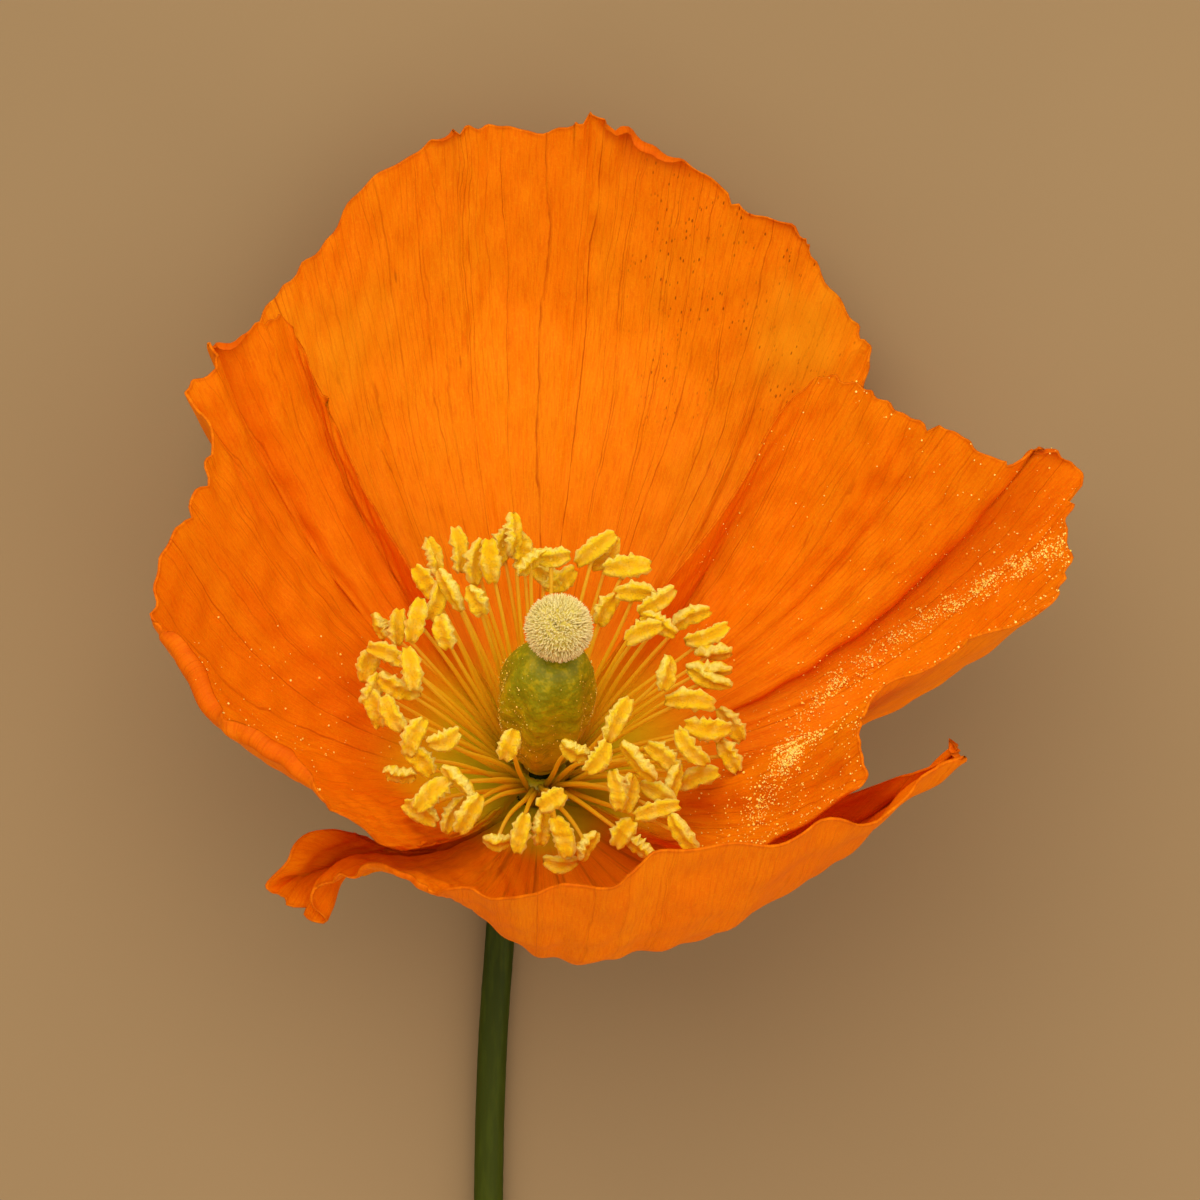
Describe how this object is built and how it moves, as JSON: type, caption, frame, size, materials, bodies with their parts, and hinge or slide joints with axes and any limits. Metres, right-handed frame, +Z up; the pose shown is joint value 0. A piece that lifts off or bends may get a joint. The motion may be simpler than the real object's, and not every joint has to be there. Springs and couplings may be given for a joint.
{
  "type": "poppy flower",
  "caption": "Orange poppy flower lying on its side, with broad papery petals round a ring of stamens and a ribbed green ovary, on a slim cut stem.",
  "frame": {"origin": "middle of the flat spot where the back petal lies on the surface", "axes": "+Z up from the surface, +Y along the stem towards the flower, +X to the right seen from above with the flower at the top"},
  "size_m": [0.054, 0.1253, 0.035],
  "materials": {
    "petal_orange": "thin papery petal, matte with a faint silky sheen, finely veined",
    "stem_green": "smooth dark green stem",
    "ovary_green": "smooth ribbed olive green",
    "stigma_cream": "velvety, covered in fine pale papillae",
    "stamen_yellow": "powdery pollen yellow anthers on orange filaments"
  },
  "bodies": {
    "root": {"stem": "stem_green", "petal_back": "petal_orange", "petal_left": "petal_orange", "petal_front": "petal_orange", "petal_right": "petal_orange", "ovary": "ovary_green", "stigma": "stigma_cream", "stamens": "stamen_yellow"}
  },
  "joints": []
}
